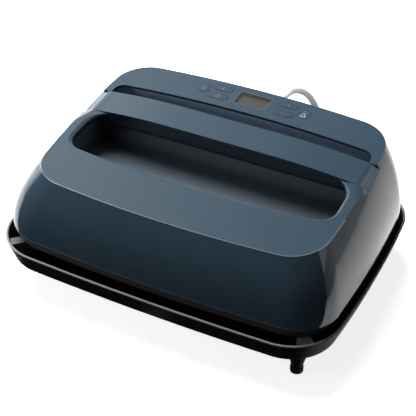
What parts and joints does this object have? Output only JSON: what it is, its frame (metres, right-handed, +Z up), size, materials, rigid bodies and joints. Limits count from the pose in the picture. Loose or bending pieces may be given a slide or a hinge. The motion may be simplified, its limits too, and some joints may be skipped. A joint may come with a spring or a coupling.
{
  "type": "handheld heat press",
  "caption": "Flat handheld heat press with a bridge handle over a finger slot, a sloping control deck and a mains cord, standing in a legged safety tray.",
  "frame": {"origin": "on the table, under the middle of the tray", "axes": "+X to the right along the handle, +Y to the rear where the cord leaves, +Z up"},
  "size_m": [0.3594, 0.4221, 0.1329],
  "materials": {
    "tray_black": "fine satin grain",
    "rest_grey": "soft matte",
    "tip_rubber": "matte",
    "shell_blue": "gloss with a fine metallic fleck",
    "ring_black": "matte",
    "well_grey": "fine matte grain",
    "plate_aluminium": "satin cast",
    "steel": "zinc plated",
    "element_steel": "heat tinted",
    "brass": "satin",
    "fibre": "needled fibre",
    "shield_aluminium": "thin rolled sheet",
    "chassis_black": "matte",
    "board_green": "coated laminate",
    "relay_blue": "gloss",
    "part_black": "gloss",
    "carrier_white": "matte",
    "button_blue": "satin gloss",
    "window_glass": "clear, smoked",
    "display_grey": "matte",
    "wire_red": "soft sleeve",
    "ribbon_grey": "soft sleeve",
    "cord_grey": "soft matte jacket",
    "gland_grey": "soft matte"
  },
  "bodies": {
    "tray": {"base_tray": "tray_black", "corner_rests": "rest_grey", "foot_tips": "tip_rubber", "cord_coil": "cord_grey", "cord_tie": "part_black", "mains_plug": "cord_grey", "plug_pins": "brass"},
    "press": {"outer_shell": "shell_blue", "lower_ring": "ring_black", "handle_grip": "shell_blue", "handle_screws": "steel", "finger_well": "well_grey", "heat_plate": "plate_aluminium", "heating_element": "element_steel", "element_terminals": "brass", "element_clamps": "steel", "temperature_sensor": "steel", "sensor_clip": "steel", "thermal_fuse": "carrier_white", "fuse_bracket": "steel", "insulation_mat": "fibre", "heat_shield": "shield_aluminium", "plate_standoffs": "steel", "plate_screws": "steel", "chassis": "chassis_black", "chassis_screws": "steel", "shell_screws": "steel", "power_board": "board_green", "board_screws": "steel", "relay": "relay_blue", "heat_sink": "shield_aluminium", "capacitors": "part_black", "buzzer": "part_black", "button_carrier": "carrier_white", "display_window": "window_glass", "window_gasket": "tip_rubber", "display_module": "display_grey", "tact_switches": "part_black", "control_board": "board_green", "panel_screws": "steel", "terminal_block": "carrier_white", "mains_wires": "wire_red", "element_leads": "wire_red", "ribbon_cable": "ribbon_grey", "strain_relief": "gland_grey", "inner_cord": "cord_grey", "cord_clamp": "carrier_white", "cord_lead": "cord_grey"},
    "power_button": {"power_button": "button_blue"},
    "temperature_button": {"temperature_button": "button_blue"},
    "timer_button": {"timer_button": "button_blue"},
    "plus_button": {"plus_button": "button_blue"},
    "minus_button": {"minus_button": "button_blue"},
    "start_button": {"start_button": "button_blue"}
  },
  "joints": [
    {"name": "press_lift", "type": "slide", "parent": "tray", "child": "press", "axis": [0, 0, 1], "range_m": [0, 0.07], "deforming": ["cord_lead"]},
    {"name": "power_button_travel", "type": "slide", "parent": "press", "child": "power_button", "axis": [0, 0.0995, -0.995], "range_m": [0, 0.0008], "stiffness_N_per_m": 1000},
    {"name": "temperature_button_travel", "type": "slide", "parent": "press", "child": "temperature_button", "axis": [0, 0.0995, -0.995], "range_m": [0, 0.0008], "stiffness_N_per_m": 1000},
    {"name": "timer_button_travel", "type": "slide", "parent": "press", "child": "timer_button", "axis": [0, 0.0995, -0.995], "range_m": [0, 0.0008], "stiffness_N_per_m": 1000},
    {"name": "plus_button_travel", "type": "slide", "parent": "press", "child": "plus_button", "axis": [0, 0.0995, -0.995], "range_m": [0, 0.0008], "stiffness_N_per_m": 1000},
    {"name": "minus_button_travel", "type": "slide", "parent": "press", "child": "minus_button", "axis": [0, 0.0995, -0.995], "range_m": [0, 0.0008], "stiffness_N_per_m": 1000},
    {"name": "start_button_travel", "type": "slide", "parent": "press", "child": "start_button", "axis": [0, 0.0995, -0.995], "range_m": [0, 0.0008], "stiffness_N_per_m": 1000}
  ]
}
